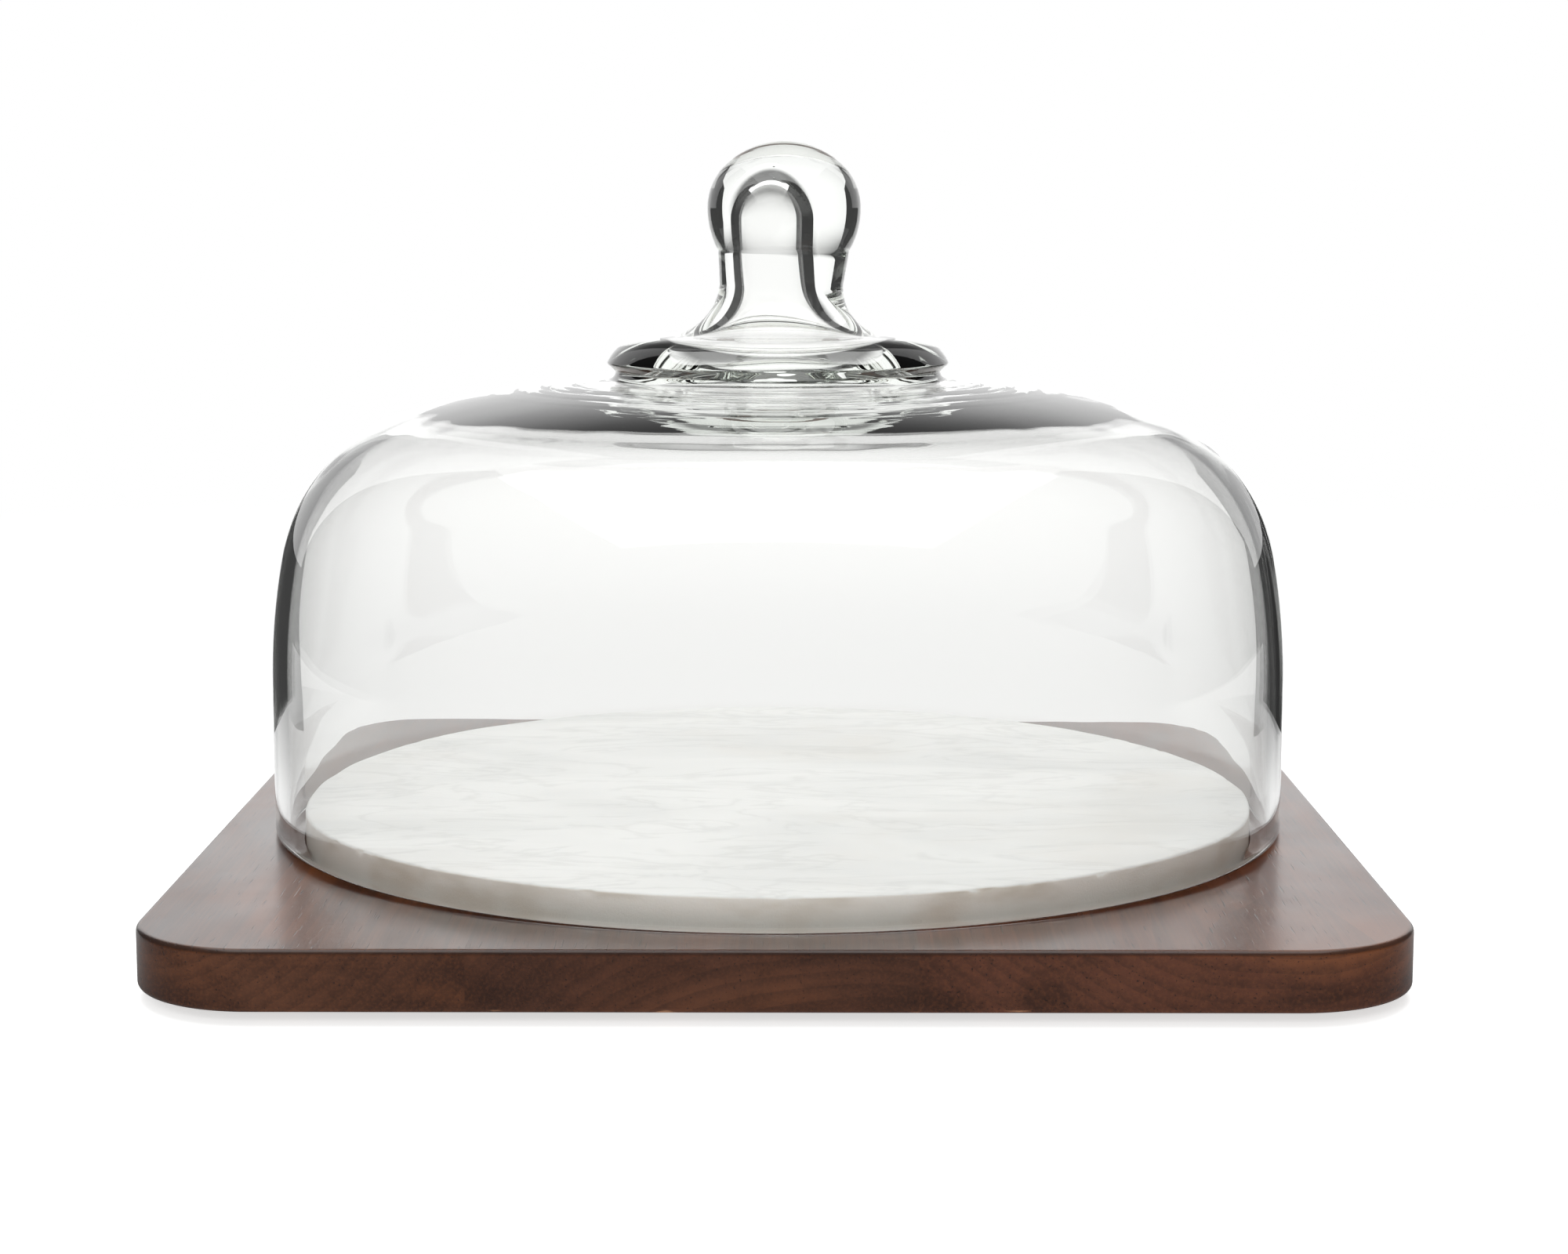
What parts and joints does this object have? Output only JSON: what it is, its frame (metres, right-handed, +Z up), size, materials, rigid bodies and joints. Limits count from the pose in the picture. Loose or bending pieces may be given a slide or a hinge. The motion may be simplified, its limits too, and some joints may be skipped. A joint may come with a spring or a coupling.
{
  "type": "cheese dome",
  "caption": "Round blown-glass cover with a hollow knob, standing over a marble slab let into a square wooden board on rubber feet.",
  "frame": {"origin": "centre of the plane that the rubber feet rest on", "axes": "+Z up along the dome's axis, +X to the right and -Y at the front, with the wood's grain along Y"},
  "size_m": [0.305, 0.305, 0.2042],
  "materials": {
    "stained_wood": "dark walnut stain under satin lacquer",
    "white_marble": "honed top, sawn edge",
    "clear_adhesive": "cured silicone",
    "clear_glass": "clear, fire polished",
    "black_rubber": "matte"
  },
  "bodies": {
    "base": {"stave_left": "stained_wood", "stave_middle": "stained_wood", "stave_right": "stained_wood", "marble_slab": "white_marble", "marble_adhesive": "clear_adhesive", "foot_front_left": "black_rubber", "foot_front_right": "black_rubber", "foot_back_left": "black_rubber", "foot_back_right": "black_rubber"},
    "dome": {"glass_dome": "clear_glass"}
  },
  "joints": [
    {"name": "dome_lift", "type": "slide", "parent": "base", "child": "dome", "axis": [0, 0, 1], "range_m": [0, 0.25]}
  ]
}
